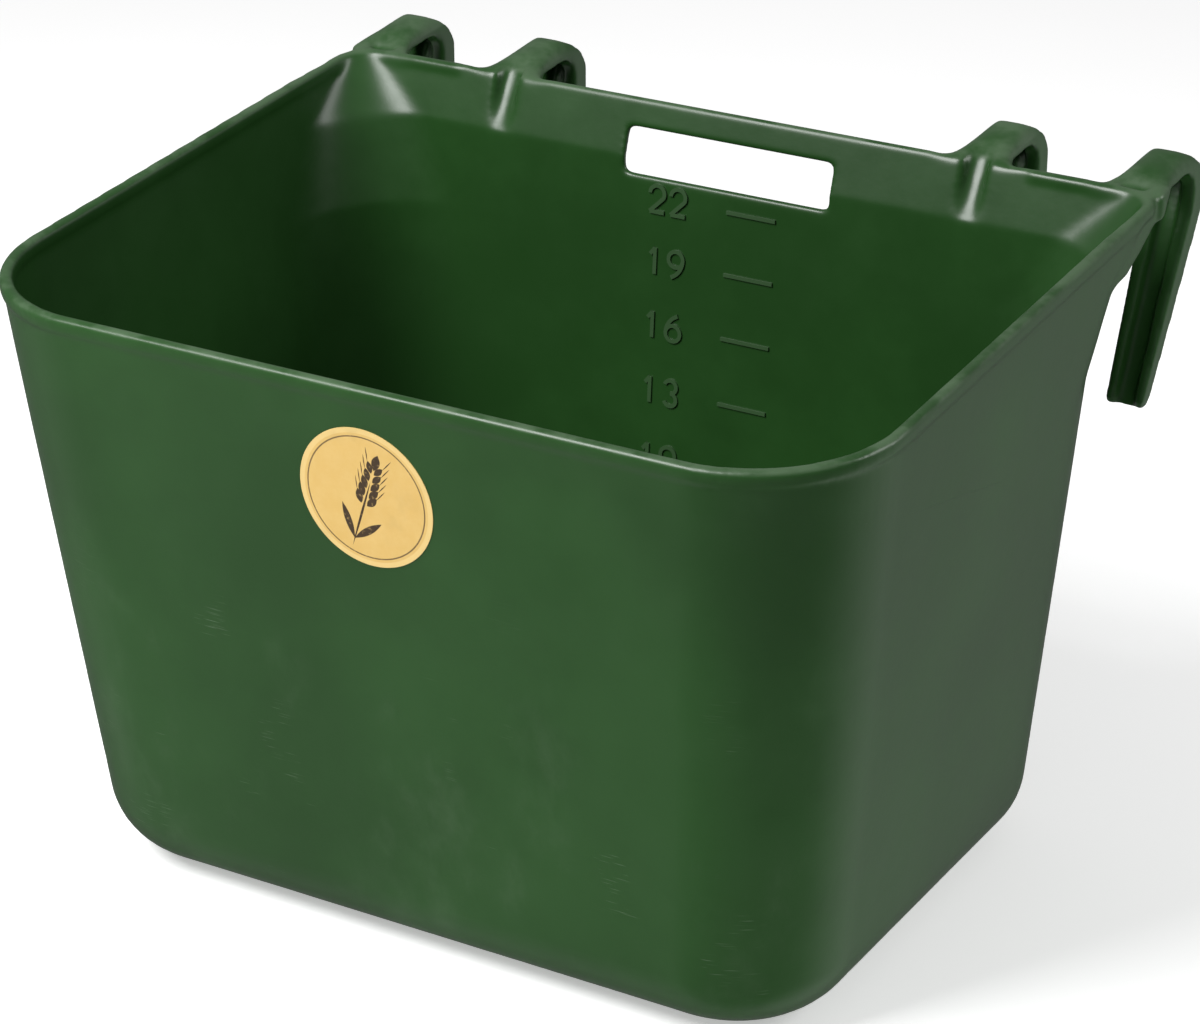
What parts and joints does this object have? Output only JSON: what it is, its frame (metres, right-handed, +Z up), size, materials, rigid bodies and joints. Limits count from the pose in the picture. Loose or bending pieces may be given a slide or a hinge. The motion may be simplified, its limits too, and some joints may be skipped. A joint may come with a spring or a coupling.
{
  "type": "hanging feed trough",
  "caption": "Tapered rectangular feed tub with rounded corners, a bead around the rim, a hand slot in the raised back and grooved hooks that hang it over a fence or gate.",
  "frame": {"origin": "on the ground, under the middle of the whole object's width and depth", "axes": "+X along the back to the right as seen by the animal, +Y away from the animal towards the fence, +Z up"},
  "size_m": [0.4, 0.3511, 0.291],
  "materials": {
    "moulding": "satin dark green polyethylene, slightly scuffed",
    "label": "printed paper label, tan gold"
  },
  "bodies": {
    "root": {"basin": "moulding", "back_band": "moulding", "rim": "moulding", "hook_left_outer": "moulding", "hook_left_inner": "moulding", "hook_right_inner": "moulding", "hook_right_outer": "moulding", "fill_scale": "moulding", "label": "label"}
  },
  "joints": []
}
